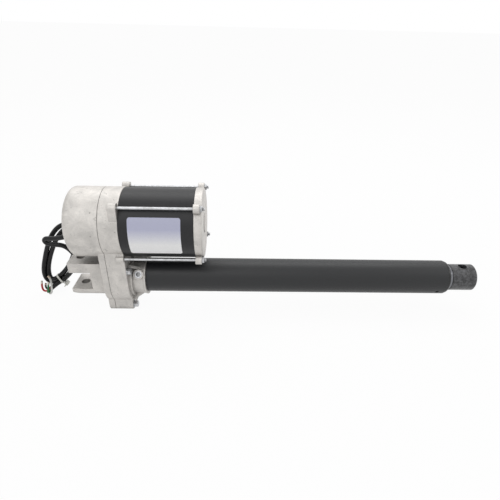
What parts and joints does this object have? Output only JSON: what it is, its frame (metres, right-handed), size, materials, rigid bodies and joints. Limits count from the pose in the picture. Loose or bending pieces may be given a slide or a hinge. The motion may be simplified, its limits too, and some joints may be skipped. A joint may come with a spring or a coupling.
{
  "type": "electric linear actuator",
  "caption": "Electric linear actuator: motor above a gear case drives a screw that extends a rod from a long tube; forked clevis behind, drilled rod end in front.",
  "frame": {"origin": "centre of the rear clevis pin hole, midway between the two ears", "axes": "+X along the tube towards the rod end, +Z from the tube axis to the motor axis, along the clevis pin"},
  "size_m": [0.675, 0.099, 0.1861],
  "materials": {
    "cast_alloy": "as-cast, satin",
    "gasket_paper": "matte fibre",
    "zinc_steel": "bright zinc plate",
    "bright_steel": "ground",
    "gear_steel": "machined, oiled",
    "black_steel": "black oxide",
    "black_enamel": "satin black enamel",
    "tube_paint": "satin charcoal paint",
    "rod_paint": "semi-gloss charcoal paint",
    "rod_steel": "ground and plated",
    "core_steel": "laminated, varnished",
    "cage_alloy": "die-cast",
    "copper": "enamelled copper wire",
    "bronze": "machined bronze",
    "friction_lining": "matte friction lining",
    "black_polymer": "matte",
    "seal_rubber": "matte",
    "label_film": "satin film",
    "cable_jacket": "matte jacket",
    "white_nylon": "translucent nylon",
    "wire_insulation": "coloured wire insulation"
  },
  "bodies": {
    "housing": {"gear_case_rear": "cast_alloy", "gear_case_front": "cast_alloy", "motor_end_bell": "cast_alloy", "idler_shaft": "cast_alloy", "brake_plate": "cast_alloy", "case_gasket": "gasket_paper", "case_screws": "zinc_steel", "tie_rods": "zinc_steel", "tie_rod_nuts": "zinc_steel", "tube_set_screw": "zinc_steel", "brake_standoffs": "zinc_steel", "bearing_wave_washer": "zinc_steel", "screw_bearing_rear": "bright_steel", "screw_bearing_front": "bright_steel", "motor_bearing_front": "bright_steel", "motor_bearing_end": "bright_steel", "bearing_retaining_ring": "black_steel", "bush_set_screws": "black_steel", "brake_springs": "black_steel", "motor_shell": "black_enamel", "cover_tube": "tube_paint", "stator_core": "core_steel", "brake_coil_housing": "core_steel", "stator_windings": "copper", "brake_coil": "copper", "guide_bush": "black_polymer", "cable_gland": "black_polymer", "gland_lock_nut": "black_polymer", "rod_wiper": "seal_rubber", "rating_label": "label_film", "cable_lead": "cable_jacket", "cable_hank": "cable_jacket", "cable_tail": "cable_jacket", "cable_tie": "white_nylon", "cable_conductors": "wire_insulation"},
    "armature": {"brake_armature": "core_steel"},
    "rotor": {"motor_shaft": "bright_steel", "rotor_core": "core_steel", "rotor_cage": "cage_alloy", "motor_pinion": "gear_steel", "brake_hub": "bright_steel", "brake_disc": "friction_lining"},
    "idler": {"idler_wheel": "gear_steel", "idler_pinion": "gear_steel", "idler_bushes": "bronze"},
    "screw": {"drive_screw": "bright_steel", "output_gear": "gear_steel", "clutch_friction_washer": "friction_lining", "clutch_pressure_plate": "bright_steel", "clutch_springs": "bright_steel", "clutch_adjusting_nut": "bright_steel", "screw_collar": "bright_steel", "screw_stop": "core_steel"},
    "rod": {"drive_nut": "bronze", "extension_tube": "rod_steel", "rod_end": "rod_paint", "rod_end_pin": "black_steel"}
  },
  "joints": [
    {"name": "rotor_spin", "type": "hinge", "parent": "housing", "child": "rotor", "pos_m": [0.1, 0, 0.088], "axis": [-1, 0, 0], "range_deg": [0, 142560]},
    {"name": "idler_spin", "type": "hinge", "parent": "housing", "child": "idler", "pos_m": [0.05, 0, 0.048], "axis": [-1, 0, 0], "range_deg": [-47520, 0]},
    {"name": "screw_spin", "type": "hinge", "parent": "housing", "child": "screw", "pos_m": [0.06, 0, 0], "axis": [-1, 0, 0], "range_deg": [0, 21600]},
    {"name": "rod_slide", "type": "slide", "parent": "housing", "child": "rod", "axis": [1, 0, 0], "range_m": [0, 0.3048]},
    {"name": "brake_release", "type": "slide", "parent": "housing", "child": "armature", "axis": [-1, 0, 0], "range_m": [0, 0.0004]}
  ],
  "couplings": [
    {"joint": "idler_spin", "follows": "rotor_spin", "ratio": -0.33333},
    {"joint": "screw_spin", "follows": "rotor_spin", "ratio": 0.15152},
    {"joint": "rod_slide", "follows": "rotor_spin", "m_per_rad": 0.0001225}
  ]
}
